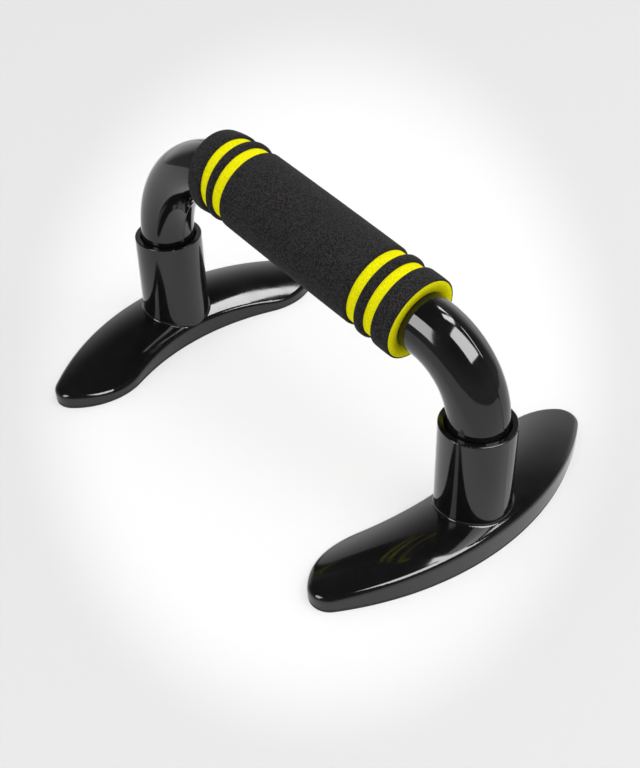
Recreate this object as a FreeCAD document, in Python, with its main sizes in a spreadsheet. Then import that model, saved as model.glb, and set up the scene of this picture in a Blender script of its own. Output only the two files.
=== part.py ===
import FreeCAD, Part
import math
import os
import Sketcher

# Driving sizes of the push-up bar, in millimetres and degrees
SIZES = {
    # Bent handle, a hollow moulding split along the plane of the U
    "leg_spacing": 197,
    "tube_diameter": 25.4,
    "tube_wall": 3,
    "left_bend": 51.5,
    "right_bend": 31.8,
    "web_thickness": 2.4,
    "web_sink": 0.4,
    "tongue_width": 1,
    "tongue_height": 1.2,
    "tongue_clearance": 0.1,
    "seam_chamfer": 0.3,
    # Foam grip, a yellow sleeve under black bands
    "sleeve_thickness": 4.25,
    "band_thickness": 1.3,
    "foam_clearance": 0.1,
    "grip_end_gap": 5.9,
    "end_ring_length": 9.6,
    "thin_ring_length": 4.7,
    "groove_width": 4.8,
    "open_groove_width": 5.5,
    "sleeve_rounding": 0.8,
    # Socket posts on the feet
    "rim_height": 54.4,
    "socket_wall": 3,
    "post_draft": 0.3,
    "socket_depth": 34,
    "plug_clearance": 0.25,
    "mouth_chamfer": 0.7,
    "rim_rounding": 0.5,
    "post_fillet": 1.2,
    # Crescent feet
    "foot_half_length": 79.3,
    "outer_ledge": 3.3,
    "inner_ledge": 0.4,
    "outer_radius": 134,
    "inner_radius": 113,
    "tip_radius": 9,
    "lobe_radius": 32,
    "skirt_height": 10.6,
    "dome_rise": 3.4,
    "crest_offset": 5,
    "crest_drop": 6.2,
    "skirt_rounding": 2.6,
    "foot_wall": 2.6,
    "rib_thickness": 2,
    "sole_thickness": 1.6,
    "sole_inset": 0.3,
    # Length by which every cutting tool runs past what it cuts
    "overrun": 2,
}
# Places of the cross webs along the straight run of the handle, as shares of its length
WEB_SHARES = (0.2, 0.5, 0.8)
# Places of the ribs under a foot, as shares of the foot's half length
RIB_SHARES = (0.38, 0.62)
# Rounding of a foam band's edges, as a share of its thickness, and at most as a share of its length
ROUNDING_SHARE = 0.85
EDGE_SHARE = 0.4
# Most of the skirt's least height that its rounded top edge may take up, as a share
SKIRT_SHARE = 0.8

doc = FreeCAD.newDocument("PushUpBar")
sheet = doc.addObject("Spreadsheet::Sheet", "sizes")
for row, (alias, value) in enumerate(SIZES.items(), start=1):
    sheet.set(f"A{row}", alias)
    sheet.set(f"B{row}", str(value))
    sheet.setAlias(f"B{row}", alias)
doc.recompute()
size = {alias: float(sheet.get(alias)) for alias in SIZES}

# Derived sizes, each as an expression on the sheet and as a number for first guesses in the sketches
TUBE_RADIUS = "sizes.tube_diameter / 2"
BORE_RADIUS = "(sizes.tube_diameter / 2 - sizes.tube_wall)"
SOCKET_RADIUS = "(sizes.tube_diameter / 2 + sizes.plug_clearance)"
LEG_FOOT = "(sizes.rim_height - sizes.socket_depth)"
CENTRES = "(sizes.leg_spacing - sizes.left_bend - sizes.right_bend)"
SLOPE = f"asin((sizes.left_bend - sizes.right_bend) / {CENTRES})"
STRAIGHT = f"({CENTRES} * cos({SLOPE}))"
LEFT_TOP_X = f"(sizes.left_bend - sizes.leg_spacing / 2 + sizes.left_bend * sin({SLOPE}))"
LEFT_TOP_Z = f"(sizes.rim_height + sizes.left_bend * cos({SLOPE}))"
SLEEVE_STRAIGHT = f"({STRAIGHT} - sizes.grip_end_gap)"
RIGHT_RING = f"({SLEEVE_STRAIGHT} - sizes.end_ring_length)"
RIGHT_THIN = f"({RIGHT_RING} - sizes.groove_width - sizes.thin_ring_length)"
MAIN_LENGTH = f"({RIGHT_THIN} - sizes.groove_width - sizes.open_groove_width)"
SLEEVE_BORE = f"({TUBE_RADIUS} + sizes.foam_clearance)"
SLEEVE_RADIUS = f"({SLEEVE_BORE} + sizes.sleeve_thickness)"
BAND_BORE = f"({SLEEVE_RADIUS} + sizes.foam_clearance)"
GRIP_RADIUS = f"({BAND_BORE} + sizes.band_thickness)"
BAND_ROUNDING = f"sizes.band_thickness * {ROUNDING_SHARE}"
# On the wide bend the foam keeps its length along the outside
ARC_DEGREES = f"(180 deg / pi / (sizes.left_bend + {GRIP_RADIUS}))"
INSIDE_SHARE = f"((sizes.left_bend - {GRIP_RADIUS}) / (sizes.left_bend + {GRIP_RADIUS}))"
BEND_REACH = "(sizes.thin_ring_length + sizes.open_groove_width + sizes.end_ring_length)"
POST_RIM = f"({SOCKET_RADIUS} + sizes.socket_wall)"
POST_BASE = f"({POST_RIM} + sizes.post_draft)"
OUTER_REACH = f"({POST_BASE} + sizes.outer_ledge)"
INNER_REACH = f"({POST_BASE} + sizes.inner_ledge)"
HALF_WIDTH = f"(({OUTER_REACH} + {INNER_REACH}) / 2)"
CREST_HEIGHT = "(sizes.skirt_height + sizes.dome_rise)"
DOME_RADIUS = f"(({HALF_WIDTH}^2 + sizes.dome_rise^2) / (2 * sizes.dome_rise))"
TIP_Y = "(sizes.foot_half_length - sizes.tip_radius)"
TIP_X = (f"({OUTER_REACH} - sizes.outer_radius"
         f" + sqrt((sizes.outer_radius - sizes.tip_radius)^2 - {TIP_Y}^2))")
CREST_BACK = f"(sizes.crest_offset - {TIP_X})"
SPINE_BOW = f"sqrt({CREST_BACK}^2 + sizes.crest_drop^2)"
SPINE_RADIUS = f"(({TIP_Y}^2 + {SPINE_BOW}^2) / (2 * {SPINE_BOW}))"

half_spacing = size["leg_spacing"] / 2
tube_radius = size["tube_diameter"] / 2
bore_radius = tube_radius - size["tube_wall"]
leg_foot = size["rim_height"] - size["socket_depth"]
centres = size["leg_spacing"] - size["left_bend"] - size["right_bend"]
slope = math.asin((size["left_bend"] - size["right_bend"]) / centres)
straight = centres * math.cos(slope)
left_centre_x = size["left_bend"] - half_spacing
right_centre_x = half_spacing - size["right_bend"]
left_top = FreeCAD.Vector(left_centre_x + size["left_bend"] * math.sin(slope),
                          size["rim_height"] + size["left_bend"] * math.cos(slope))
right_top = FreeCAD.Vector(right_centre_x + size["right_bend"] * math.sin(slope),
                           size["rim_height"] + size["right_bend"] * math.cos(slope))
sleeve_radius = tube_radius + size["foam_clearance"] + size["sleeve_thickness"]
grip_radius = sleeve_radius + size["foam_clearance"] + size["band_thickness"]
post_base = tube_radius + size["plug_clearance"] + size["socket_wall"] + size["post_draft"]
outer_reach = post_base + size["outer_ledge"]
inner_reach = post_base + size["inner_ledge"]


# Named ends of a sketch element, and a sketch's own origin and axes
START, END, CENTRE = range(1, 4)
V_AXIS, H_AXIS = range(-2, 0)
ORIGIN = H_AXIS


def vec(x, y, z=0):
    return FreeCAD.Vector(x, y, z)


def plane(body, role):
    return next(item for item in body.Origin.OriginFeatures if item.Role == role)


def new_body(label):
    body = doc.addObject("PartDesign::Body", label)
    body.Label = label
    return body


def new_sketch(body, name, role):
    sketch = body.newObject("Sketcher::SketchObject", name)
    sketch.AttachmentSupport = (plane(body, role), "")
    sketch.MapMode = "FlatFace"
    return sketch


def drive(sketch, name, expression, *constraint):
    """Add a dimension to a sketch and bind it to the sheet."""
    index = sketch.addConstraint(Sketcher.Constraint(*constraint))
    sketch.renameConstraint(index, name)
    sketch.setExpression(f"Constraints.{name}", expression)


def relate(sketch, *constraint):
    sketch.addConstraint(Sketcher.Constraint(*constraint))


def weld_ends(sketch):
    """Join the ends of a sketch's elements wherever two of them meet."""
    ends = [(index, end) for index in range(len(sketch.Geometry)) for end in (START, END)]
    for place, (first, first_end) in enumerate(ends):
        for second, second_end in ends[place + 1:]:
            gap = sketch.getPoint(first, first_end) - sketch.getPoint(second, second_end)
            if gap.Length < size["overrun"] / 1000:
                relate(sketch, "Coincident", first, first_end, second, second_end)


def arc(centre, radius, start, end):
    circle = Part.Circle(centre, vec(0, 0, 1), radius)
    return Part.ArcOfCircle(circle, start, end)


# Bent handle

def spine_sketch(body):
    """Centreline of the handle: leg, wide bend, sloping run, tight bend, leg."""
    sketch = new_sketch(body, f"{body.Label}_spine", "XZ_Plane")
    half = half_spacing
    rim = size["rim_height"]
    top_angle = math.pi / 2 - slope
    left_leg = sketch.addGeometry(Part.LineSegment(vec(-half, leg_foot), vec(-half, rim)))
    left_arc = sketch.addGeometry(arc(vec(left_centre_x, rim), size["left_bend"], top_angle, math.pi))
    run = sketch.addGeometry(Part.LineSegment(left_top, right_top))
    right_arc = sketch.addGeometry(arc(vec(right_centre_x, rim), size["right_bend"], 0, top_angle))
    right_leg = sketch.addGeometry(Part.LineSegment(vec(half, rim), vec(half, leg_foot)))
    relate(sketch, "Tangent", left_leg, END, left_arc, END)
    relate(sketch, "Tangent", left_arc, START, run, START)
    relate(sketch, "Tangent", run, END, right_arc, END)
    relate(sketch, "Tangent", right_arc, START, right_leg, START)
    relate(sketch, "Vertical", left_leg)
    relate(sketch, "Vertical", right_leg)
    relate(sketch, "Symmetric", left_leg, START, right_leg, END, V_AXIS)
    relate(sketch, "Horizontal", left_arc, CENTRE, right_arc, CENTRE)
    drive(sketch, "spacing", "sizes.leg_spacing",
          "DistanceX", left_leg, START, right_leg, END, size["leg_spacing"])
    drive(sketch, "foot_level", LEG_FOOT, "DistanceY", ORIGIN, START, left_leg, START, leg_foot)
    drive(sketch, "rim_level", "sizes.rim_height",
          "DistanceY", ORIGIN, START, left_arc, CENTRE, size["rim_height"])
    drive(sketch, "left_radius", "sizes.left_bend", "Radius", left_arc, size["left_bend"])
    drive(sketch, "right_radius", "sizes.right_bend", "Radius", right_arc, size["right_bend"])
    return sketch


def half_section(body, side, tongued):
    """Half of the tube's section, with a tongue or a groove in the middle of each seam face."""
    sketch = new_sketch(body, f"{body.Label}_section", "XY_Plane")
    sketch.AttachmentOffset = FreeCAD.Placement(vec(-half_spacing, 0, leg_foot), FreeCAD.Rotation())
    sketch.setExpression(".AttachmentOffset.Base.x", "-sizes.leg_spacing / 2")
    sketch.setExpression(".AttachmentOffset.Base.z", LEG_FOOT)
    play = 0 if tongued else size["tongue_clearance"]
    play_name = "0" if tongued else "sizes.tongue_clearance"
    middle = tube_radius - size["tube_wall"] / 2
    inner_edge = middle - size["tongue_width"] / 2 - play
    outer_edge = middle + size["tongue_width"] / 2 + play
    crown = size["tongue_height"] + play
    lip = tube_radius - size["seam_chamfer"]
    flank = math.sqrt(tube_radius**2 - size["seam_chamfer"]**2)
    right_points = [
        vec(bore_radius, 0),
        vec(inner_edge, 0),
        vec(inner_edge, crown),
        vec(outer_edge, crown),
        vec(outer_edge, 0),
        vec(lip, 0),
        vec(flank, side * size["seam_chamfer"]),
    ]
    left_points = [vec(-point.x, point.y) for point in right_points]
    chains = []
    for points in (right_points, left_points):
        lines = [Part.LineSegment(start, end) for start, end in zip(points, points[1:])]
        chains.append([sketch.addGeometry(line) for line in lines])
    right, left = chains
    skin = sketch.addGeometry(Part.Arc(right_points[-1], vec(0, side * tube_radius), left_points[-1]))
    bore = sketch.addGeometry(Part.Arc(right_points[0], vec(0, side * bore_radius), left_points[0]))
    weld_ends(sketch)
    for bow in (skin, bore):
        relate(sketch, "Coincident", bow, CENTRE, ORIGIN, START)
    on_seam = ((right[0], START), (right[0], END), (right[4], START), (right[4], END), (left[0], START))
    for line, end in on_seam:
        relate(sketch, "PointOnObject", line, end, H_AXIS)
    relate(sketch, "Vertical", right[1])
    relate(sketch, "Horizontal", right[2])
    relate(sketch, "Vertical", right[3])
    for mirror, line in zip(left[:-1], right[:-1]):
        relate(sketch, "Symmetric", mirror, END, line, END, V_AXIS)
    relate(sketch, "Horizontal", left[-1], END, right[-1], END)
    seam = "sizes.tube_diameter / 2 - sizes.tube_wall / 2"
    drive(sketch, "skin_radius", TUBE_RADIUS, "Radius", skin, tube_radius)
    drive(sketch, "bore_radius", BORE_RADIUS, "Radius", bore, bore_radius)
    drive(sketch, "tongue_inside", f"{seam} - sizes.tongue_width / 2 - {play_name}",
          "DistanceX", ORIGIN, START, right[0], END, inner_edge)
    drive(sketch, "tongue_outside", f"{seam} + sizes.tongue_width / 2 + {play_name}",
          "DistanceX", ORIGIN, START, right[4], START, outer_edge)
    drive(sketch, "tongue_crown", f"sizes.tongue_height + {play_name}",
          "DistanceY", ORIGIN, START, right[2], START, crown)
    drive(sketch, "lip", f"{TUBE_RADIUS} - sizes.seam_chamfer",
          "DistanceX", ORIGIN, START, right[4], END, lip)
    chamfer_ends = (ORIGIN, START, right[5], END) if side > 0 else (right[5], END, ORIGIN, START)
    drive(sketch, "chamfer", "sizes.seam_chamfer", "DistanceY", *chamfer_ends, size["seam_chamfer"])
    return sketch


def half_disc(body, name, role, side, offset, expressions):
    """Half disc that closes the hollow of one shell, sunk a little into its wall."""
    sketch = new_sketch(body, name, role)
    sketch.AttachmentOffset = offset
    for target, expression in expressions.items():
        sketch.setExpression(f".AttachmentOffset.{target}", expression)
    radius = bore_radius + size["web_sink"]
    if role == "XY_Plane":
        across, up, axis = vec(radius, 0), vec(0, side * radius), H_AXIS
    else:
        across, up, axis = vec(0, radius), vec(side * radius, 0), V_AXIS
    chord = sketch.addGeometry(Part.LineSegment(across, -across))
    bow = sketch.addGeometry(Part.Arc(across, up, -across))
    weld_ends(sketch)
    relate(sketch, "PointOnObject", bow, CENTRE, H_AXIS)
    relate(sketch, "PointOnObject", bow, CENTRE, V_AXIS)
    for end in (START, END):
        relate(sketch, "PointOnObject", chord, end, axis)
    drive(sketch, "reach", f"{BORE_RADIUS} + sizes.web_sink", "Radius", bow, radius)
    return sketch


def add_pad(body, sketch, name, length, midplane=False):
    pad = body.newObject("PartDesign::Pad", name)
    pad.Profile = sketch
    pad.setExpression("Length", length)
    if midplane:
        pad.SideType = "Symmetric"
    doc.recompute()
    return pad


def handle_shell(label, side, tongued):
    """One half of the hollow handle, with end walls in the legs and cross webs in the straight run."""
    body = new_body(label)
    spine = spine_sketch(body)
    section = half_section(body, side, tongued)
    doc.recompute()
    pipe = body.newObject("PartDesign::AdditivePipe", f"{label}_pipe")
    pipe.Profile = section
    pipe.Spine = (spine, [f"Edge{index + 1}" for index in range(len(spine.Geometry))])
    doc.recompute()
    for name, sign in (("left", -1), ("right", 1)):
        offset = FreeCAD.Placement(vec(sign * half_spacing, 0, leg_foot), FreeCAD.Rotation())
        wall = half_disc(body, f"{label}_{name}_end", "XY_Plane", side, offset,
                         {"Base.x": f"{sign} * sizes.leg_spacing / 2", "Base.z": LEG_FOOT})
        add_pad(body, wall, f"{label}_{name}_end_wall", "sizes.tube_wall")
    turned = FreeCAD.Rotation(vec(1, 0, 0), math.degrees(slope))
    for index, share in enumerate(WEB_SHARES):
        middle = left_top + (right_top - left_top) * share
        offset = FreeCAD.Placement(vec(0, middle.y, middle.x), turned)
        along = f"{STRAIGHT} * {share}"
        web = half_disc(body, f"{label}_web_{index}", "YZ_Plane", side, offset, {
            "Base.z": f"{LEFT_TOP_X} + {along} * cos({SLOPE})",
            "Base.y": f"{LEFT_TOP_Z} - {along} * sin({SLOPE})",
            "Rotation.Angle": SLOPE,
        })
        add_pad(body, web, f"{label}_web_{index}_wall", "sizes.web_thickness", midplane=True)
    return body


# Foam grip

def place_on_bend(body, turned_back="0 deg"):
    """Put a grip piece's origin at the centre of the wide bend, its X axis along the straight run."""
    body.setExpression(".Placement.Base.x", "sizes.left_bend - sizes.leg_spacing / 2")
    body.setExpression(".Placement.Base.z", "sizes.rim_height")
    body.Placement.Rotation = FreeCAD.Rotation(vec(0, 1, 0), math.degrees(slope))
    body.setExpression(".Placement.Rotation.Angle", f"{SLOPE} - {turned_back}")


def annulus(body, name, outer, inner, start="0"):
    """Ring-shaped section on the tube's line, at a distance along the straight run."""
    sketch = new_sketch(body, name, "YZ_Plane")
    sketch.setExpression(".AttachmentOffset.Base.z", start)
    centre = vec(0, size["left_bend"])
    circles = []
    for tag, expression, guess in (("outer", outer, grip_radius), ("inner", inner, tube_radius)):
        circle = sketch.addGeometry(Part.Circle(centre, vec(0, 0, 1), guess))
        drive(sketch, tag, expression, "Radius", circle, guess)
        circles.append(circle)
    relate(sketch, "Coincident", circles[0], CENTRE, circles[1], CENTRE)
    relate(sketch, "PointOnObject", circles[0], CENTRE, V_AXIS)
    drive(sketch, "lift", "sizes.left_bend",
          "DistanceY", ORIGIN, START, circles[0], CENTRE, size["left_bend"])
    return sketch


def add_bend(body, sketch, name, degrees, reverse):
    """Sweep a section round the wide bend, about the origin's Y axis."""
    turn = body.newObject("PartDesign::Revolution", name)
    turn.Profile = sketch
    turn.ReferenceAxis = (plane(body, "Y_Axis"), [""])
    turn.Reversed = reverse
    turn.setExpression("Angle", degrees)
    doc.recompute()
    return turn


def round_end_edges(body, feature, radius, rounding):
    """Round the outer edges of a foam piece's two flat end faces."""
    ends = [face for face in feature.Shape.Faces if isinstance(face.Surface, Part.Plane)]
    edges = []
    for index, edge in enumerate(feature.Shape.Edges, start=1):
        if not isinstance(edge.Curve, Part.Circle):
            continue
        outer = math.isclose(edge.Curve.Radius, radius, rel_tol=1e-6)
        if outer and any(edge.isSame(other) for face in ends for other in face.Edges):
            edges.append(f"Edge{index}")
    fillet = body.newObject("PartDesign::Fillet", f"{body.Label}_rounding")
    fillet.Base = (feature, edges)
    fillet.setExpression("Radius", rounding)
    doc.recompute()


def band_rounding(length):
    """Rounding of a band's edges, kept within the band's shortest length."""
    return f"min({BAND_ROUNDING}; {length} * {EDGE_SHARE})"


def straight_band(label, start, length):
    """Black band on the straight run."""
    body = new_body(label)
    place_on_bend(body)
    section = annulus(body, f"{label}_section", GRIP_RADIUS, BAND_BORE, start)
    pad = add_pad(body, section, f"{label}_pad", length)
    round_end_edges(body, pad, grip_radius, band_rounding(length))


def bent_band(label, end, length):
    """Black band on the wide bend; end is how far along the bend its far face lies."""
    body = new_body(label)
    place_on_bend(body, f"{end} * {ARC_DEGREES}")
    section = annulus(body, f"{label}_section", GRIP_RADIUS, BAND_BORE)
    turn = add_bend(body, section, f"{label}_turn", f"{length} * {ARC_DEGREES}", reverse=False)
    round_end_edges(body, turn, grip_radius, band_rounding(f"{length} * {INSIDE_SHARE}"))


def foam_sleeve(label):
    """Yellow sleeve: straight along the run, then round the start of the wide bend."""
    body = new_body(label)
    place_on_bend(body)
    section = annulus(body, f"{label}_section", SLEEVE_RADIUS, SLEEVE_BORE)
    add_pad(body, section, f"{label}_run", SLEEVE_STRAIGHT)
    turn = add_bend(body, section, f"{label}_turn", f"{BEND_REACH} * {ARC_DEGREES}", reverse=True)
    round_end_edges(body, turn, sleeve_radius, "sizes.sleeve_rounding")


# Crescent feet

def tip_and_lobe():
    """Centres of the tip's and the lobe's arcs, from the circles that they touch."""
    outer_centre = vec(outer_reach - size["outer_radius"], 0)
    inner_centre = vec(-inner_reach - size["inner_radius"], 0)
    tip_y = size["foot_half_length"] - size["tip_radius"]
    tip_x = outer_centre.x + math.sqrt((size["outer_radius"] - size["tip_radius"])**2 - tip_y**2)
    tip = vec(tip_x, tip_y)
    near = size["lobe_radius"] - size["tip_radius"]
    far = size["inner_radius"] + size["lobe_radius"]
    between = inner_centre - tip
    along = (near**2 - far**2 + between.Length**2) / (2 * between.Length)
    unit = between / between.Length
    aside = vec(-unit.y, unit.x) * math.sqrt(near**2 - along**2)
    lobe = max((tip + unit * along + aside, tip + unit * along - aside), key=lambda point: point.x)
    return outer_centre, inner_centre, tip, lobe


def angle_to(start, end):
    return math.atan2(end.y - start.y, end.x - start.x)


def crescent(sketch, inset="0", inset_guess=0):
    """Outline of a foot: outer arc, rounded tips, inner lobes and the hollow inner arc."""
    outer_centre, inner_centre, tip, lobe = tip_and_lobe()
    outer_end = angle_to(outer_centre, tip)
    tip_end = angle_to(lobe, tip)
    lobe_end = angle_to(lobe, inner_centre) + 2 * math.pi
    hollow_end = angle_to(inner_centre, lobe)

    def mirrored(point):
        return vec(point.x, -point.y)

    outer_radius = size["outer_radius"] - inset_guess
    inner_radius = size["inner_radius"] + inset_guess
    tip_radius = size["tip_radius"] - inset_guess
    lobe_radius = size["lobe_radius"] - inset_guess
    outer = sketch.addGeometry(arc(outer_centre, outer_radius, -outer_end, outer_end))
    far_tip = sketch.addGeometry(arc(tip, tip_radius, outer_end, tip_end))
    far_lobe = sketch.addGeometry(arc(lobe, lobe_radius, tip_end, lobe_end))
    hollow = sketch.addGeometry(arc(inner_centre, inner_radius, -hollow_end, hollow_end))
    near_lobe = sketch.addGeometry(arc(mirrored(lobe), lobe_radius, -lobe_end, -tip_end))
    near_tip = sketch.addGeometry(arc(mirrored(tip), tip_radius, -tip_end, -outer_end))
    relate(sketch, "Tangent", outer, END, far_tip, START)
    relate(sketch, "Tangent", far_tip, END, far_lobe, START)
    relate(sketch, "Tangent", far_lobe, END, hollow, END)
    relate(sketch, "Tangent", hollow, START, near_lobe, START)
    relate(sketch, "Tangent", near_lobe, END, near_tip, START)
    relate(sketch, "Tangent", near_tip, END, outer, START)
    relate(sketch, "PointOnObject", outer, CENTRE, H_AXIS)
    relate(sketch, "PointOnObject", hollow, CENTRE, H_AXIS)
    relate(sketch, "Equal", far_tip, near_tip)
    relate(sketch, "Equal", far_lobe, near_lobe)
    drive(sketch, "outer_bow", f"sizes.outer_radius - {inset}", "Radius", outer, outer_radius)
    drive(sketch, "tip_bow", f"sizes.tip_radius - {inset}", "Radius", far_tip, tip_radius)
    drive(sketch, "lobe_bow", f"sizes.lobe_radius - {inset}", "Radius", far_lobe, lobe_radius)
    drive(sketch, "hollow_bow", f"sizes.inner_radius + {inset}", "Radius", hollow, inner_radius)
    drive(sketch, "outer_centre", f"sizes.outer_radius - {OUTER_REACH}",
          "DistanceX", outer, CENTRE, ORIGIN, START, -outer_centre.x)
    drive(sketch, "hollow_centre", f"sizes.inner_radius + {INNER_REACH}",
          "DistanceX", hollow, CENTRE, ORIGIN, START, -inner_centre.x)
    half_tip = "sizes.foot_half_length - sizes.tip_radius"
    drive(sketch, "far_reach", half_tip, "DistanceY", ORIGIN, START, far_tip, CENTRE, tip.y)
    drive(sketch, "near_reach", half_tip, "DistanceY", near_tip, CENTRE, ORIGIN, START, tip.y)


def solid(kind, name, **expressions):
    """Primitive or boolean whose properties are bound to the sheet."""
    item = doc.addObject(kind, name)
    for target, expression in expressions.items():
        item.setExpression(target, expression)
    return item


def at(item, x="0", z="0"):
    item.setExpression(".Placement.Base.x", x)
    item.setExpression(".Placement.Base.z", z)
    return item


def joined(name, items):
    fuse = doc.addObject("Part::MultiFuse", name)
    fuse.Shapes = items
    return fuse


def cut(name, base, tool):
    item = doc.addObject("Part::Cut", name)
    item.Base = base
    item.Tool = tool
    return item


def common(name, base, tool):
    item = doc.addObject("Part::Common", name)
    item.Base = base
    item.Tool = tool
    return item


def block(name, inset, inset_guess, low, height):
    """Upright prism on the crescent outline, drawn in by an inset."""
    sketch = doc.addObject("Sketcher::SketchObject", f"{name}_outline")
    crescent(sketch, inset, inset_guess)
    at(sketch, z=low)
    prism = doc.addObject("Part::Extrusion", name)
    prism.Base = sketch
    prism.DirMode = "Normal"
    prism.Solid = True
    prism.setExpression("LengthFwd", height)
    return prism


def dome(name, inset):
    """Rounded back of a foot: a large ring on a curved crest line, tilted so that the tips lie lower."""
    back = size["crest_offset"] - tip_and_lobe()[2].x
    tilt = FreeCAD.Rotation(vec(0, 1, 0), -math.degrees(math.atan2(size["crest_drop"], back)))
    ring = solid("Part::Torus", name, Radius1=SPINE_RADIUS, Radius2=f"{DOME_RADIUS} - {inset}")
    ring.Placement.Rotation = tilt * FreeCAD.Rotation(vec(0, 0, 1), 180)
    centre_height = f"({CREST_HEIGHT} - {DOME_RADIUS})"
    return at(ring, f"sizes.crest_offset - {SPINE_RADIUS} * {CREST_BACK} / {SPINE_BOW}",
              f"{centre_height} - {SPINE_RADIUS} * sizes.crest_drop / {SPINE_BOW}")


def foot_ribs(name):
    """Cross ribs under the back of a foot, in pairs either side of the post."""
    ribs = []
    for sign in (-1, 1):
        for index, share in enumerate(RIB_SHARES):
            rib = solid("Part::Box", f"{name}_{index}_{'far' if sign > 0 else 'near'}",
                        Length="2 * sizes.foot_half_length", Width="sizes.rib_thickness",
                        Height=CREST_HEIGHT)
            at(rib, "-sizes.foot_half_length")
            rib.setExpression(".Placement.Base.y",
                              f"{sign} * sizes.foot_half_length * {share} - sizes.rib_thickness / 2")
            ribs.append(rib)
    return joined(name, ribs)


def foot_shell(label, side):
    """Hollow crescent foot with a socket post, made about its leg's axis and then set under that leg."""
    tall = f"{CREST_HEIGHT} + sizes.overrun"
    skirt = block(f"{label}_skirt", "0", 0, "sizes.sole_thickness", tall)
    back = common(f"{label}_back", skirt, dome(f"{label}_dome", "0"))
    doc.recompute()
    eased = rounded(f"{label}_eased", back, skirt_rounding(back), tops_skirt)
    post = at(solid("Part::Cone", f"{label}_post", Radius1=POST_BASE, Radius2=POST_RIM,
                    Height="sizes.rim_height - sizes.sole_thickness"), z="sizes.sole_thickness")
    joint = joined(f"{label}_outside", [eased, post])
    doc.recompute()
    seated = rounded(f"{label}_seated", joint, size["post_fillet"], rings_post)
    doc.recompute()
    outside = rounded(f"{label}_rounded", seated, size["rim_rounding"], tops_post)
    hollow = block(f"{label}_hollow", "sizes.foot_wall", size["foot_wall"],
                   "sizes.sole_thickness - sizes.overrun", tall)
    room = common(f"{label}_room", hollow, dome(f"{label}_ceiling", "sizes.foot_wall"))
    core = at(solid("Part::Cylinder", f"{label}_core", Radius=POST_RIM,
                    Height=f"{tall} + sizes.overrun"), z="-sizes.overrun")
    kept = joined(f"{label}_kept", [core, foot_ribs(f"{label}_rib")])
    cavity = cut(f"{label}_cavity", room, kept)
    socket = at(solid("Part::Cylinder", f"{label}_socket", Radius=SOCKET_RADIUS,
                      Height="sizes.socket_depth + sizes.overrun"), z=LEG_FOOT)
    mouth = at(solid("Part::Cone", f"{label}_mouth", Radius1=SOCKET_RADIUS,
                     Radius2=f"{SOCKET_RADIUS} + sizes.mouth_chamfer", Height="sizes.mouth_chamfer"),
               z="sizes.rim_height - sizes.mouth_chamfer")
    well = at(solid("Part::Cylinder", f"{label}_well", Radius=SOCKET_RADIUS,
                    Height=f"{LEG_FOOT} - sizes.foot_wall - sizes.sole_thickness + sizes.overrun"),
              z="sizes.sole_thickness - sizes.overrun")
    inside = joined(f"{label}_inside", [cavity, socket, mouth, well])
    shell = cut(label, outside, inside)
    shell.Label = label
    set_under_leg(shell, side)
    return shell


def rounded(name, base, radius, picked):
    """Round the edges of a solid that a test picks."""
    edges = [index for index, edge in enumerate(base.Shape.Edges, start=1) if picked(edge)]
    fillet = doc.addObject("Part::Fillet", name)
    fillet.Base = base
    fillet.Edges = [(index, radius, radius) for index in edges]
    return fillet


def points_on(edge):
    return edge.discretize(Number=5)


def tops_post(edge):
    """Tell the outer edge of a post's rim."""
    return min(point.z for point in points_on(edge)) > size["rim_height"] - size["rim_rounding"]


def rings_post(edge):
    """Tell the edge where a post stands on the back of its foot."""
    points = points_on(edge)
    heights = [point.z for point in points]
    spread = [post_base - math.hypot(point.x, point.y) for point in points]
    on_post = min(spread) > 0 and max(spread) < size["post_draft"]
    above_sole = min(heights) > size["sole_thickness"] + size["skirt_rounding"]
    return on_post and above_sole and max(heights) < size["rim_height"] / 2


def tops_skirt(edge):
    """Tell an edge round the top of the skirt from those that reach down to the sole."""
    return min(point.z for point in points_on(edge)) > size["sole_thickness"] + size["overrun"] / 1000


def skirt_rounding(back):
    """Rounding of the skirt's top edge, kept within the skirt's least height."""
    tops = [edge for edge in back.Shape.Edges if tops_skirt(edge)]
    lowest = min(point.z for edge in tops for point in points_on(edge))
    return min(size["skirt_rounding"], SKIRT_SHARE * (lowest - size["sole_thickness"]))


def set_under_leg(item, side):
    """Stand a foot piece under its leg, its convex side outwards."""
    item.Placement.Rotation = FreeCAD.Rotation(vec(0, 0, 1), 0 if side > 0 else 180)
    item.setExpression(".Placement.Base.x", f"{side} * sizes.leg_spacing / 2")


def sole(label, side):
    """Thin anti-slip sole that closes the underside of a foot."""
    body = new_body(label)
    sketch = new_sketch(body, f"{label}_outline", "XY_Plane")
    crescent(sketch, "sizes.sole_inset", size["sole_inset"])
    add_pad(body, sketch, f"{label}_pad", "sizes.sole_thickness")
    set_under_leg(body, side)
    return body


handle_shell("handle_front_shell", -1, tongued=True)
handle_shell("handle_rear_shell", 1, tongued=False)
foam_sleeve("inner_foam_sleeve")
straight_band("main_grip_band", "sizes.open_groove_width", MAIN_LENGTH)
straight_band("right_thin_ring", RIGHT_THIN, "sizes.thin_ring_length")
straight_band("right_end_ring", RIGHT_RING, "sizes.end_ring_length")
bent_band("left_thin_ring", "sizes.thin_ring_length", "sizes.thin_ring_length")
bent_band("left_end_ring", BEND_REACH, "sizes.end_ring_length")
for side_name, side_sign in (("left", -1), ("right", 1)):
    foot_shell(f"{side_name}_foot_shell", side_sign)
    sole(f"{side_name}_sole", side_sign)

NODES = (
    "handle_front_shell", "handle_rear_shell", "inner_foam_sleeve", "main_grip_band", "left_thin_ring",
    "right_thin_ring", "left_end_ring", "right_end_ring", "left_foot_shell", "right_foot_shell",
    "left_sole", "right_sole",
)

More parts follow.
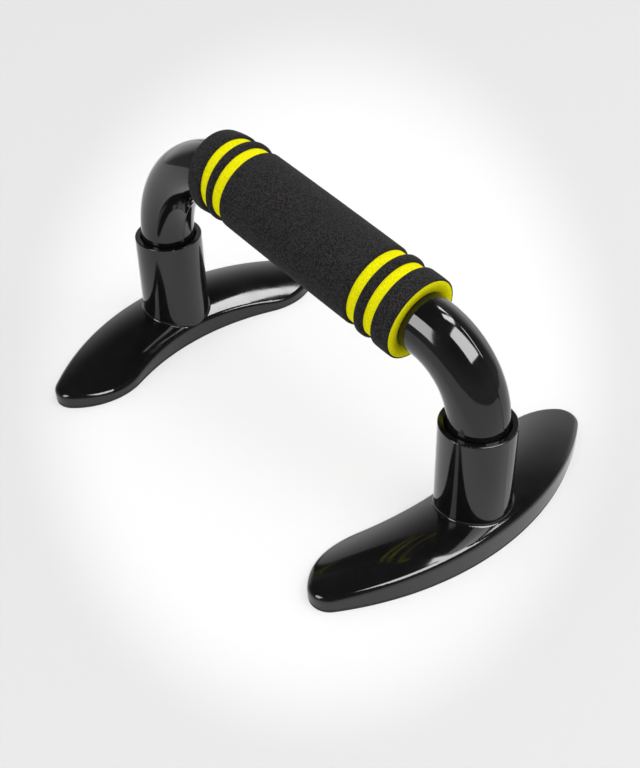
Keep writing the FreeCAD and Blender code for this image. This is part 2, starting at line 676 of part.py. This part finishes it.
doc.recompute()
for item in doc.Objects:
    if "Invalid" in item.State or "Error" in item.State:
        raise RuntimeError(f"{item.Label} failed: {item.State}")
os.makedirs("parts", exist_ok=True)
for label in NODES:
    shape = doc.getObjectsByLabel(label)[0].Shape
    if shape.isNull() or not shape.isValid():
        raise RuntimeError(f"{label} has no valid shape")
    print(label, len(shape.Solids), "solid", round(shape.Volume / 1000, 2), "cm3")
    shape.exportStep(f"parts/{label}.step")
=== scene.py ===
import logging
import math
from collections.abc import Iterable
from dataclasses import dataclass
from enum import Enum
from typing import NamedTuple

import bmesh
import bpy
from bpy.types import Material, NodeSocket, NodeTree, Object
from mathutils import Matrix, Vector


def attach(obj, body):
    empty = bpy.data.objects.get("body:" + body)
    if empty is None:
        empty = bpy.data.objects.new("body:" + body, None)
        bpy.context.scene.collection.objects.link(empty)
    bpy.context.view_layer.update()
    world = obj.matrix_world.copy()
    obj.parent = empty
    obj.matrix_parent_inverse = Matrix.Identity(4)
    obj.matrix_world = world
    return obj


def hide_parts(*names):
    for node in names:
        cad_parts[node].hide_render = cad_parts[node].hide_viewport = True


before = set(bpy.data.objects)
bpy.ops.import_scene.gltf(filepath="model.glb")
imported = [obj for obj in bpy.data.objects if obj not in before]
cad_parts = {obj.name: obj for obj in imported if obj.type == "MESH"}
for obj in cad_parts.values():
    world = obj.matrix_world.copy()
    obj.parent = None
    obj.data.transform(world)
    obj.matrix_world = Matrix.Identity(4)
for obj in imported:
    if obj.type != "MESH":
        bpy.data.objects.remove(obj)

log = logging.getLogger("push_up_bar")

Colour = tuple[float, float, float, float]
Coordinates = tuple[float, float, float]

ACROSS: Coordinates = (0.0, 1.0, 0.0)
UP: Coordinates = (0.0, 0.0, 1.0)
GRAIN_AVERAGE = 0.5


def grey(level: float) -> Colour:
    """A plain grey."""
    return level, level, level, 1.0


class Slot(Enum):
    """Material slots of the foam."""

    YELLOW_FOAM = "yellow_foam"
    BLACK_FOAM = "black_foam"


class Wire:
    """A node socket that can be used in sums; each operation adds a Math node to its tree."""

    def __init__(self, bench: "Bench", socket: NodeSocket | None) -> None:
        """Keep the socket and the bench that its tree is built on."""
        self.bench = bench
        self.socket = socket

    def _sum(self, operation: str, first: "Wire | float", second: "Wire | float") -> "Wire":
        """Add one Math node.

        Args:
            operation: The Math node's operation.
            first: Its first value.
            second: Its second value.

        Returns:
            The node's result.
        """
        return self.bench.node("ShaderNodeMath", {"operation": operation}, {0: first, 1: second})

    def __add__(self, other: "Wire | float") -> "Wire":
        """This plus other."""
        return self._sum("ADD", self, other)

    def __radd__(self, other: float) -> "Wire":
        """Other plus this."""
        return self._sum("ADD", other, self)

    def __sub__(self, other: "Wire | float") -> "Wire":
        """This minus other."""
        return self._sum("SUBTRACT", self, other)

    def __rsub__(self, other: float) -> "Wire":
        """Other minus this."""
        return self._sum("SUBTRACT", other, self)

    def __mul__(self, other: "Wire | float") -> "Wire":
        """This times other."""
        return self._sum("MULTIPLY", self, other)

    def __rmul__(self, other: float) -> "Wire":
        """Other times this."""
        return self._sum("MULTIPLY", other, self)

    def __truediv__(self, other: "Wire | float") -> "Wire":
        """This divided by other."""
        return self._sum("DIVIDE", self, other)

    def __rtruediv__(self, other: float) -> "Wire":
        """Other divided by this."""
        return self._sum("DIVIDE", other, self)

    def __abs__(self) -> "Wire":
        """This without its sign."""
        return self._sum("ABSOLUTE", self, 0.0)

    def at_most(self, other: "Wire | float") -> "Wire":
        """The smaller of this and other."""
        return self._sum("MINIMUM", self, other)

    def at_least(self, other: "Wire | float") -> "Wire":
        """The larger of this and other."""
        return self._sum("MAXIMUM", self, other)

    def clamped(self) -> "Wire":
        """This kept between 0 and 1."""
        return self.at_least(0.0).at_most(1.0)


class Bench:
    """Builds one node tree, node by node."""

    def __init__(self, tree: NodeTree) -> None:
        """Start from an empty tree."""
        self.tree = tree
        tree.nodes.clear()

    def node(self, kind: str, settings: dict | None = None, inputs: dict | None = None,
             output: int | str = 0) -> Wire:
        """Add a node, set it and join its sockets.

        Args:
            kind: The node's type.
            settings: Properties of the node, set first.
            inputs: Values or wires for its input sockets, by name or index.
            output: The output socket to hand back.

        Returns:
            The chosen output, or a wire without a socket where the node has no outputs.
        """
        node = self.tree.nodes.new(kind)
        for name, value in (settings or {}).items():
            setattr(node, name, value)
        for name, value in (inputs or {}).items():
            if isinstance(value, Wire):
                self.tree.links.new(value.socket, node.inputs[name])
            else:
                node.inputs[name].default_value = value
        return Wire(self, node.outputs[output] if len(node.outputs) else None)

    def position(self) -> Wire:
        """Object coordinates, which are the bar's own frame in metres."""
        return self.node("ShaderNodeTexCoord", output="Object")

    def grain(self, scale: float, detail: float = 2.0, roughness: float = 0.5) -> Wire:
        """Noise over the surface.

        Args:
            scale: Bumps per metre.
            detail: Octaves of finer noise.
            roughness: How strong the finer octaves are.

        Returns:
            The noise value, about GRAIN_AVERAGE on average.
        """
        return self.node("ShaderNodeTexNoise", {"noise_dimensions": "3D"}, {
            "Vector": self.position(),
            "Scale": scale,
            "Detail": detail,
            "Roughness": roughness,
        })

    def mixed(self, share: Wire, first: Wire | Colour, second: Wire | Colour) -> Wire:
        """Mix two colours.

        Args:
            share: How much of the second colour shows.
            first: Colour at 0.
            second: Colour at 1.

        Returns:
            The mixed colour.
        """
        return self.node("ShaderNodeMix", {"data_type": "RGBA"}, {0: share, 6: first, 7: second}, output=2)

    def relief(self, height: Wire, depth: float, strength: float = 1.0, under: Wire | None = None) -> Wire:
        """Bump from a height.

        Args:
            height: Height over the surface, 0 to 1.
            depth: Height of 1, in metres.
            strength: Share of the bump that shows.
            under: Normal from a coarser bump.

        Returns:
            The bumped normal.
        """
        inputs = {"Height": height, "Distance": depth, "Strength": strength}
        if under is not None:
            inputs["Normal"] = under
        return self.node("ShaderNodeBump", inputs=inputs)

    def ramp(self, value: Wire, low: float, high: float) -> Wire:
        """Smooth step.

        Args:
            value: The value that is compared.
            low: Where the step starts, at 0.
            high: Where it ends, at 1.

        Returns:
            The step.
        """
        return self.node("ShaderNodeMapRange", {"interpolation_type": "SMOOTHSTEP"},
                         {"Value": value, "From Min": low, "From Max": high})

    def along(self, vector: Wire, axis: Vector | Coordinates) -> Wire:
        """How far a vector reaches along an axis."""
        return self.node("ShaderNodeVectorMath", {"operation": "DOT_PRODUCT"}, {0: vector, 1: tuple(axis)},
                         output="Value")

    def background(self, level: float) -> Wire:
        """Even grey light from the room."""
        return self.node("ShaderNodeBackground", inputs={"Color": grey(level)})

    def blend(self, share: Wire, first: Wire, second: Wire) -> Wire:
        """Mix two shaders; share is how much of the second shows."""
        return self.node("ShaderNodeMixShader", inputs={0: share, 1: first, 2: second})

    def surface(self, shader: Wire) -> None:
        """Make a shader the surface of the material."""
        self.node("ShaderNodeOutputMaterial", inputs={"Surface": shader})


def new_material(name: str) -> tuple[Material, Bench]:
    """Make an empty material.

    Args:
        name: The material's name.

    Returns:
        The material and a bench on its tree.
    """
    material = bpy.data.materials.new(name)
    material.use_nodes = True
    return material, Bench(material.node_tree)


@dataclass(frozen=True)
class GlossPlastic:
    """Glossy moulded plastic: near-black, with a slow ripple from the mould and faint handling haze."""

    name: str
    colour: Colour
    haze_colour: Colour
    haze_scale: float = 70.0
    haze_detail: float = 4.0
    haze_roughness: float = 0.6
    haze_onset: float = 0.42
    haze_contrast: float = 3.0
    haze_tint_share: float = 0.5
    roughness: float = 0.07
    added_roughness: float = 0.07
    refraction: float = 1.52
    ripple_scale: float = 38.0
    ripple_detail: float = 1.0
    ripple_depth: float = 0.00012
    skin_scale: float = 900.0
    skin_depth: float = 0.000006
    relief_share: float = 0.35
    seam_width: float = 0.0003
    seam_height: float = 0.0

    def build(self) -> Material:
        """Build the plastic, with a fine ridge along the seam where it has a height.

        Returns:
            The material.
        """
        material, bench = new_material(self.name + "_finish")
        haze = bench.grain(self.haze_scale, self.haze_detail, self.haze_roughness)
        spread = ((haze - self.haze_onset) * self.haze_contrast).clamped()
        ripples = bench.grain(self.ripple_scale, self.ripple_detail)
        ripple = bench.relief(ripples, self.ripple_depth, self.relief_share)
        skin = bench.relief(bench.grain(self.skin_scale), self.skin_depth, self.relief_share, ripple)
        if self.seam_height > 0.0:
            off_seam = abs(bench.along(bench.position(), ACROSS))
            ridge = 1.0 - bench.ramp(off_seam, 0.0, self.seam_width)
            skin = bench.relief(ridge, self.seam_height, under=skin)
        shader = bench.node("ShaderNodeBsdfPrincipled", inputs={
            "Base Color": bench.mixed(spread * self.haze_tint_share, self.colour, self.haze_colour),
            "Roughness": self.roughness + spread * self.added_roughness,
            "Normal": skin,
            "IOR": self.refraction,
        })
        bench.surface(shader)
        return material


@dataclass(frozen=True)
class Foam:
    """Closed-cell foam: matte, with fine cells that break up the surface."""

    name: str
    colour: Colour
    # Colour of the pits: painted shade where the cell relief is lowest.
    painted_pit_shade_colour: Colour
    worn_colour: Colour
    cell_scale: float = 2400.0
    cell_depth: float = 0.00016
    cell_height_share: float = 0.3
    cell_relief_share: float = 0.8
    speckle_scale_share: float = 0.62
    speckle_detail: float = 3.0
    speckle_roughness: float = 0.65
    pit_contrast: float = 9.0
    patch_scale: float = 90.0
    patch_detail: float = 3.0
    patch_contrast: float = 2.2
    worn_share: float = 0.35
    lump_scale: float = 160.0
    lump_depth: float = 0.0003
    lump_relief_share: float = 0.4
    roughness: float = 0.82
    added_roughness: float = 0.13
    gloss: float = 0.1
    sheen: float = 0.03
    sheen_roughness: float = 0.6

    def build(self) -> Material:
        """Build the foam: pits between the cells darkened with painted shade, plainer patches where it is
        worn, and soft lumps.

        Returns:
            The material.
        """
        material, bench = new_material(self.name + "_finish")
        cells = bench.node("ShaderNodeTexVoronoi", {"feature": "F1"},
                           {"Vector": bench.position(), "Scale": self.cell_scale})
        speckle = bench.grain(self.cell_scale * self.speckle_scale_share, self.speckle_detail,
                              self.speckle_roughness)
        pits = ((speckle - GRAIN_AVERAGE) * self.pit_contrast + GRAIN_AVERAGE).clamped()
        patches = bench.grain(self.patch_scale, self.patch_detail)
        worn = ((patches - GRAIN_AVERAGE) * self.patch_contrast).clamped()
        # Darker colour where the speckle relief is low: painted shade in the foam's pits.
        fresh_colour_with_pit_shade = bench.mixed(pits, self.painted_pit_shade_colour, self.colour)
        lumps = bench.relief(bench.grain(self.lump_scale), self.lump_depth, self.lump_relief_share)
        height = speckle * (1 - self.cell_height_share) + cells * self.cell_height_share
        shader = bench.node("ShaderNodeBsdfPrincipled", inputs={
            "Base Color": bench.mixed(worn * self.worn_share, fresh_colour_with_pit_shade, self.worn_colour),
            "Roughness": self.roughness + pits * self.added_roughness,
            "Normal": bench.relief(height, self.cell_depth, self.cell_relief_share, lumps),
            "Specular IOR Level": self.gloss,
            "Sheen Weight": self.sheen,
            "Sheen Roughness": self.sheen_roughness,
        })
        bench.surface(shader)
        return material


@dataclass(frozen=True)
class SoleRubber:
    """Matte black anti-slip rubber with a fine sandy skin."""

    name: str
    colour: Colour
    dust_colour: Colour
    dust_scale: float = 260.0
    dust_detail: float = 4.0
    dust_roughness: float = 0.6
    dust_contrast: float = 2.0
    sand_scale: float = 1800.0
    sand_depth: float = 0.00008
    sand_relief_share: float = 0.6
    roughness: float = 0.6
    added_roughness: float = 0.25

    def build(self) -> Material:
        """Build the rubber.

        Returns:
            The material.
        """
        material, bench = new_material(self.name + "_finish")
        dust = bench.grain(self.dust_scale, self.dust_detail, self.dust_roughness)
        dusty = ((dust - GRAIN_AVERAGE) * self.dust_contrast).clamped()
        shader = bench.node("ShaderNodeBsdfPrincipled", inputs={
            "Base Color": bench.mixed(dusty, self.colour, self.dust_colour),
            "Roughness": self.roughness + dust * self.added_roughness,
            "Normal": bench.relief(bench.grain(self.sand_scale), self.sand_depth, self.sand_relief_share),
        })
        bench.surface(shader)
        return material


class Finish(Enum):
    """The bar's finishes."""

    PLASTIC = GlossPlastic(
        "gloss_black_plastic",
        colour=(0.0055, 0.0055, 0.006, 1.0),
        haze_colour=(0.012, 0.012, 0.0125, 1.0),
    )
    SEAMED_PLASTIC = GlossPlastic(
        "seamed_black_plastic",
        colour=(0.0055, 0.0055, 0.006, 1.0),
        haze_colour=(0.012, 0.012, 0.0125, 1.0),
        seam_height=0.00012,
    )
    BLACK_FOAM = Foam(
        "black_foam",
        colour=(0.0275, 0.0253, 0.0263, 1.0),
        # Pit colour: painted shade in the black foam's pits.
        painted_pit_shade_colour=(0.0022, 0.002, 0.0021, 1.0),
        worn_colour=(0.020, 0.0185, 0.0188, 1.0),
    )
    YELLOW_FOAM = Foam(
        "yellow_foam",
        colour=(0.93, 0.885, 0.002, 1.0),
        # Pit colour: painted shade in the yellow foam's pits.
        painted_pit_shade_colour=(0.78, 0.73, 0.002, 1.0),
        worn_colour=(0.94, 0.90, 0.01, 1.0),
        cell_depth=0.00012,
        sheen=0.0,
        gloss=0.03,
    )
    RUBBER = SoleRubber(
        "sole_rubber",
        colour=(0.012, 0.012, 0.012, 1.0),
        dust_colour=(0.035, 0.034, 0.033, 1.0),
    )

    def material(self) -> Material:
        """The finish's material, made the first time that it is asked for."""
        return bpy.data.materials.get(self.value.name + "_finish") or self.value.build()


def new_piece(name: str, mesh: bmesh.types.BMesh, material: Material) -> Object:
    """Turn a bmesh into a smooth-shaded object at the origin.

    Args:
        name: The piece's name.
        mesh: Its shape, which is freed.
        material: Its finish.

    Returns:
        The new object.
    """
    data = bpy.data.meshes.new(name)
    mesh.to_mesh(data)
    mesh.free()
    data.shade_smooth()
    data.materials.append(material)
    piece = bpy.data.objects.new(name, data)
    bpy.context.scene.collection.objects.link(piece)
    return piece


@dataclass(frozen=True)
class HandleLine:
    """Centreline of the handle round its wide bend and along its sloping run, in metres."""

    leg_spacing: float = 0.197
    left_bend: float = 0.0515
    right_bend: float = 0.0318
    rim_height: float = 0.0544

    @property
    def slope(self) -> float:
        """Fall of the run towards the tight bend, in radians."""
        return math.asin((self.left_bend - self.right_bend) / self.between_centres)

    @property
    def between_centres(self) -> float:
        """Distance between the centres of the two bends."""
        return self.leg_spacing - self.left_bend - self.right_bend

    @property
    def run(self) -> float:
        """Length of the straight run."""
        return self.between_centres * math.cos(self.slope)

    def bent(self, length: float, radius: float) -> float:
        """Length on the wide bend's centreline of a foam piece that keeps its length along the outside.

        Args:
            length: The foam's length.
            radius: The foam's outer radius.

        Returns:
            The length along the centreline.
        """
        return length * self.left_bend / (self.left_bend + radius)

    def placed(self, point: Vector) -> Vector:
        """Carry a point from a straightened grip onto the handle.

        Args:
            point: X along the grip from the start of the run, Y across, Z up from the centreline.

        Returns:
            The point in the bar's frame; a negative X lies on the wide bend.
        """
        centre = Vector((self.left_bend - self.leg_spacing / 2, 0.0, self.rim_height))
        on_bend = min(point.x, 0.0) / self.left_bend
        along = max(point.x, 0.0)
        turn = Matrix.Rotation(self.slope + on_bend, 3, "Y")
        return centre + turn @ Vector((along, point.y, self.left_bend + point.z))


class Corner(NamedTuple):
    """Corner of a foam ring's section: place along the grip, distance from its line, and rounding."""

    along: float
    off_axis: float
    rounding: float = 0.0


@dataclass(frozen=True)
class FoamRing:
    """One foam piece of the grip, as a turned ring on the handle's line."""

    name: str
    section: tuple[Corner, ...]
    crown: float
    slot: Slot
    finish: Finish
    body: str = "handle"
    around: int = 160
    corner_segments: int = 7
    cut_spacing: float = 0.0012
    fewest_cuts: int = 4
    long_edge_share: float = 1 / 3
    level_tolerance: float = 1e-6
    merge_distance: float = 1e-7

    @property
    def ends(self) -> tuple[float, float]:
        """Where the ring starts and ends along the grip."""
        places = [corner.along for corner in self.section]
        return min(places), max(places)

    @property
    def walls(self) -> tuple[float, float]:
        """The ring's inner and outer radius."""
        radii = [corner.off_axis for corner in self.section]
        return min(radii), max(radii)

    def turned(self) -> bmesh.types.BMesh:
        """Round the section's corners, divide its long edges and turn it into a straight ring.

        Returns:
            The ring, along X.
        """
        mesh = bmesh.new()
        verts = [mesh.verts.new((corner.along, 0.0, corner.off_axis)) for corner in self.section]
        for first, second in zip(verts, verts[1:] + verts[:1]):
            mesh.edges.new((first, second))
        for vert, corner in zip(verts, self.section):
            if corner.rounding > 0.0:
                bmesh.ops.bevel(mesh, geom=[vert], offset=corner.rounding, offset_type="OFFSET",
                                segments=self.corner_segments, profile=0.5, affect="VERTICES", material=-1)
        start, end = self.ends
        lengthwise = [edge for edge in mesh.edges
                      if edge.calc_length() > (end - start) * self.long_edge_share
                      and abs(edge.verts[0].co.z - edge.verts[1].co.z) < self.level_tolerance]
        cuts = max(self.fewest_cuts, round((end - start) / self.cut_spacing))
        bmesh.ops.subdivide_edges(mesh, edges=lengthwise, cuts=cuts)
        bmesh.ops.spin(mesh, geom=mesh.verts[:] + mesh.edges[:], cent=(0.0, 0.0, 0.0), axis=(1.0, 0.0, 0.0),
                       angle=2 * math.pi, steps=self.around, use_merge=True)
        bmesh.ops.remove_doubles(mesh, verts=mesh.verts[:], dist=self.merge_distance)
        bmesh.ops.recalc_face_normals(mesh, faces=mesh.faces[:])
        return mesh

    def build(self, line: HandleLine) -> Object:
        """Turn the ring, crown it, bend it onto the handle and dress it.

        Args:
            line: The handle's centreline.

        Returns:
            The finished piece.
        """
        mesh = self.turned()
        start, end = self.ends
        inner, outer = self.walls
        middle, half = (start + end) / 2, (end - start) / 2
        for vert in mesh.verts:
            off_axis = math.hypot(vert.co.y, vert.co.z)
            share = (off_axis - inner) / (outer - inner)
            swell = self.crown * share * (1 - ((vert.co.x - middle) / half) ** 2)
            vert.co.y *= 1 + swell / off_axis
            vert.co.z *= 1 + swell / off_axis
            vert.co = line.placed(vert.co)
        piece = new_piece(self.name + "_foam", mesh, self.finish.material())
        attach(piece, self.body)
        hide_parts(self.name)
        return piece


class Band(Enum):
    """Black bands of the grip, from the high end to the low end."""

    LEFT_END = "left_end_ring"
    LEFT_THIN = "left_thin_ring"
    MAIN = "main_grip_band"
    RIGHT_THIN = "right_thin_ring"
    RIGHT_END = "right_end_ring"


@dataclass(frozen=True)
class Grip:
    """Foam grip: a yellow sleeve with black bands that leave grooves down to it.

    At both ends the foam is cut so that the yellow flares out under the black.
    """

    line: HandleLine
    tube_radius: float = 0.0127
    bore_clearance: float = 0.0001
    sleeve_radius: float = 0.01705
    layer_gap: float = 0.00005
    outer_radius: float = 0.01845
    end_gap: float = 0.0059
    end_ring: float = 0.0096
    thin_ring: float = 0.0047
    groove: float = 0.0048
    open_groove: float = 0.0055
    rounding: float = 0.0011
    thin_rounding: float = 0.0013
    end_rounding: float = 0.00055
    end_lip: float = 0.0007
    lip_rounding: float = 0.0002
    crown: float = 0.00012
    thin_crown: float = 0.00035

    def sleeve(self, start: float, end: float) -> FoamRing:
        """Lay out the yellow sleeve.

        Args:
            start: Its high end.
            end: Its low end.

        Returns:
            The sleeve, flared at both ends.
        """
        bore, flare = self.tube_radius + self.bore_clearance, self.sleeve_radius + self.end_lip
        section = (
            Corner(start, bore),
            Corner(start, flare, self.lip_rounding),
            Corner(start + self.end_lip, self.sleeve_radius),
            Corner(end - self.end_lip, self.sleeve_radius),
            Corner(end, flare, self.lip_rounding),
            Corner(end, bore),
        )
        return FoamRing("inner_foam_sleeve", section, 0.0, Slot.YELLOW_FOAM, Finish.YELLOW_FOAM)

    def band(self, band: Band, start: float, end: float) -> FoamRing:
        """Lay out one black band.

        Args:
            band: Which band.
            start: Its high end.
            end: Its low end.

        Returns:
            The band, cut back inside where it ends the grip.
        """
        thin = band in (Band.LEFT_THIN, Band.RIGHT_THIN)
        rounding = self.thin_rounding if thin else self.rounding
        inside, outside = self.sleeve_radius + self.layer_gap, self.outer_radius
        lip = self.end_lip
        high_end = (Corner(start, inside), Corner(start, outside, rounding))
        low_end = (Corner(end, outside, rounding), Corner(end, inside))
        if band is Band.LEFT_END:
            high_end = (Corner(start + lip, inside), Corner(start, inside + lip),
                        Corner(start, outside, self.end_rounding))
        elif band is Band.RIGHT_END:
            low_end = (Corner(end, outside, self.end_rounding), Corner(end, inside + lip),
                       Corner(end - lip, inside))
        crown = self.thin_crown if thin else self.crown
        return FoamRing(band.value, high_end + low_end, crown, Slot.BLACK_FOAM, Finish.BLACK_FOAM)

    def rings(self) -> Iterable[FoamRing]:
        """Lay out the sleeve and its bands along the grip.

        Returns:
            The foam pieces, from the high end to the low end.
        """
        on_bend = (self.thin_ring, self.open_groove, self.end_ring)
        left_thin, left_groove, left_ring = (self.line.bent(length, self.outer_radius) for length in on_bend)
        left_end = -(left_thin + left_groove + left_ring)
        right_end = self.line.run - self.end_gap
        right_ring = right_end - self.end_ring
        right_thin = right_ring - self.groove - self.thin_ring
        spans = {
            Band.LEFT_END: (left_end, left_end + left_ring),
            Band.LEFT_THIN: (-left_thin, 0.0),
            Band.MAIN: (self.open_groove, right_thin - self.groove),
            Band.RIGHT_THIN: (right_thin, right_thin + self.thin_ring),
            Band.RIGHT_END: (right_ring, right_end),
        }
        yield self.sleeve(left_end, right_end)
        for band, (start, end) in spans.items():
            yield self.band(band, start, end)

    def build(self) -> list[Object]:
        """Make every foam piece."""
        return [ring.build(self.line) for ring in self.rings()]


def dress(node: str, finish: Finish) -> Object:
    """Give a moulded node its finish.

    Args:
        node: The node's name.
        finish: What it is made of.

    Returns:
        The node's object.
    """
    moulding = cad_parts[node]
    for place in moulding.material_slots:
        place.material = finish.material()
    return moulding


@dataclass(frozen=True)
class Handle:
    """Bent handle: two moulded half shells with the seam in the plane of the bend."""

    shells: tuple[str, str] = ("handle_front_shell", "handle_rear_shell")

    def build(self) -> list[Object]:
        """Dress both shells."""
        return [dress(node, Finish.SEAMED_PLASTIC) for node in self.shells]


@dataclass(frozen=True)
class Foot:
    """Crescent foot: a moulded shell with a socket post, on an anti-slip sole."""

    side: str

    def build(self) -> list[Object]:
        """Dress the shell and the sole."""
        return [dress(f"{self.side}_foot_shell", Finish.PLASTIC), dress(f"{self.side}_sole", Finish.RUBBER)]


@dataclass(frozen=True)
class Softbox:
    """A rectangular studio panel that points at the bar; angles in degrees, sizes in metres."""

    name: str
    azimuth: float
    elevation: float
    width: float
    depth: float
    power: float
    away: float = 1.3
    reflection_only: bool = True

    def build(self) -> Object:
        """Hang the panel.

        Returns:
            The panel's lamp.
        """
        azimuth, elevation = math.radians(self.azimuth), math.radians(self.elevation)
        place = self.away * Vector((math.cos(elevation) * math.cos(azimuth),
                                    math.cos(elevation) * math.sin(azimuth), math.sin(elevation)))
        data = bpy.data.lights.new(self.name, "AREA")
        data.shape = "RECTANGLE"
        data.size, data.size_y, data.energy = self.width, self.depth, self.power
        lamp = bpy.data.objects.new(self.name, data)
        lamp.location = place
        lamp.rotation_euler = (-place).to_track_quat("-Z", "Y").to_euler()
        lamp.visible_camera = False
        lamp.visible_diffuse = not self.reflection_only
        lamp.visible_glossy = self.reflection_only
        bpy.context.scene.collection.objects.link(lamp)
        return lamp


@dataclass(frozen=True)
class Studio:
    """Pale floor, soft lamps and the camera."""

    floor_reach: float = 1.3
    floor_level: float = 0.985
    floor_glow: float = 0.6
    edge_level: float = 0.80
    edge_starts: float = 0.40
    edge_ends: float = 1.00
    room: float = 0.85
    horizon: float = 1.20
    dim: float = 0.20
    dim_starts: float = -0.75
    dim_ends: float = -0.45
    ceiling: float = 0.03
    ceiling_starts: float = 0.09
    ceiling_ends: float = 0.79
    camera_side: Coordinates = (0.67, -0.74, 0.0)
    camera_place: Coordinates = (0.33636, -0.29696, 0.37265)
    camera_azimuth: float = 47.95
    camera_elevation: float = 38.38
    camera_roll: float = -1.69
    lens: float = 59.2
    sensor: float = 36.0
    frame_shape: float = 640 / 768
    nearest: float = 0.01
    farthest: float = 50.0
    least_depth: float = 0.001
    lamps: tuple[Softbox, ...] = (
        Softbox("key_box", azimuth=14.0, elevation=60.0, width=0.92, depth=0.83, power=7.3, away=1.5,
                reflection_only=False),
        Softbox("back_panel", azimuth=102.0, elevation=58.5, width=1.26, depth=0.69, power=38.0, away=6.0),
        Softbox("near_panel", azimuth=41.9, elevation=67.9, width=0.036, depth=0.05, power=0.08, away=0.31),
        Softbox("right_panel", azimuth=9.0, elevation=57.0, width=0.80, depth=0.72, power=22.0),
        Softbox("left_panel", azimuth=257.0, elevation=37.0, width=0.39, depth=0.69, power=7.0, away=1.2),
    )

    @property
    def camera_turn(self) -> Matrix:
        """The camera's turn.

        Returns:
            Its axes as columns: right, up and back.
        """
        azimuth, elevation = math.radians(self.camera_azimuth), math.radians(self.camera_elevation)
        back = Vector((math.sin(azimuth) * math.cos(elevation), -math.cos(azimuth) * math.cos(elevation),
                       math.sin(elevation)))
        right = Vector((math.cos(azimuth), math.sin(azimuth), 0.0))
        turn = Matrix((right, back.cross(right), back)).transposed()
        return turn @ Matrix.Rotation(math.radians(self.camera_roll), 3, "Z")

    def shade(self, bench: Bench, sight: Wire) -> Wire:
        """Colour of the paper, palest in the middle of the camera's frame.

        Args:
            bench: The tree that the colour is for.
            sight: Direction from the camera.

        Returns:
            The colour in that direction.
        """
        right, up, back = self.camera_turn.transposed()
        half_height = self.sensor / 2 / self.lens
        depth = bench.along(sight, -back).at_least(self.least_depth)
        off_side = bench.along(sight, right) / depth / (half_height * self.frame_shape)
        off_height = bench.along(sight, up) / depth / half_height
        off_centre = off_side * off_side + off_height * off_height
        at_edge = bench.ramp(off_centre, self.edge_starts, self.edge_ends)
        return bench.mixed(at_edge, grey(self.floor_level), grey(self.edge_level))

    def floor(self) -> Object:
        """Lay the floor: thin paper that takes the shadow and lets the backdrop show through.

        Returns:
            The floor.
        """
        mesh = bmesh.new()
        bmesh.ops.create_grid(mesh, x_segments=1, y_segments=1, size=self.floor_reach)
        material, bench = new_material("floor_paper")
        sight = bench.node("ShaderNodeVectorMath", {"operation": "SUBTRACT"},
                           {0: bench.position(), 1: self.camera_place})
        colour = self.shade(bench, sight)
        paper = bench.node("ShaderNodeBsdfDiffuse", inputs={"Color": colour})
        glow = bench.node("ShaderNodeEmission", inputs={"Color": colour})
        clear = bench.node("ShaderNodeBsdfTransparent")
        direct = bench.node("ShaderNodeLightPath", output="Is Camera Ray")
        mirrored = bench.node("ShaderNodeLightPath", output="Is Glossy Ray")
        lit = bench.blend(mirrored * self.floor_glow, paper, glow)
        bench.surface(bench.blend(direct * self.floor_glow, lit, clear))
        floor = new_piece("floor", mesh, material)
        return floor

    def world(self) -> None:
        """Light the room evenly; reflections see a pale horizon under a dark ceiling."""
        world = bpy.data.worlds.new("studio_room")
        bpy.context.scene.world = world
        world.use_nodes = True
        bench = Bench(world.node_tree)
        sight = bench.node("ShaderNodeTexCoord", output="Generated")
        dimmed = bench.ramp(bench.along(sight, self.camera_side), self.dim_starts, self.dim_ends)
        above = bench.ramp(bench.along(sight, UP), self.ceiling_starts, self.ceiling_ends)
        round_bar = bench.blend(dimmed, bench.background(self.horizon), bench.background(self.dim))
        mirrored = bench.blend(above, round_bar, bench.background(self.ceiling))
        glossy = bench.node("ShaderNodeLightPath", output="Is Glossy Ray")
        lit = bench.blend(glossy, bench.background(self.room), mirrored)
        direct = bench.node("ShaderNodeLightPath", output="Is Camera Ray")
        backdrop = bench.node("ShaderNodeBackground", inputs={"Color": self.shade(bench, sight)})
        bench.node("ShaderNodeOutputWorld", inputs={"Surface": bench.blend(direct, lit, backdrop)})

    def camera(self) -> Object:
        """Set the camera where the photograph was taken from.

        Returns:
            The camera.
        """
        data = bpy.data.cameras.new("camera")
        data.lens, data.sensor_width = self.lens, self.sensor
        data.clip_start, data.clip_end = self.nearest, self.farthest
        camera = bpy.data.objects.new("camera", data)
        camera.matrix_world = Matrix.Translation(self.camera_place) @ self.camera_turn.to_4x4()
        bpy.context.scene.collection.objects.link(camera)
        bpy.context.scene.camera = camera
        return camera

    def build(self) -> None:
        """Set up the whole studio."""
        self.floor()
        for lamp in self.lamps:
            lamp.build()
        self.world()
        self.camera()
        bpy.context.scene.view_settings.view_transform = "Standard"


def main() -> None:
    """Build the bar's looks, the studio and the camera."""
    logging.basicConfig(level=logging.INFO, format="%(message)s")
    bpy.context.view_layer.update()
    line = HandleLine()
    for assembly in (Handle(), Grip(line), Foot("left"), Foot("right")):
        for piece in assembly.build():
            log.info("%s: %s with %d faces", type(assembly).__name__, piece.name, len(piece.data.polygons))
    Studio().build()


if __name__ == "__main__":
    main()
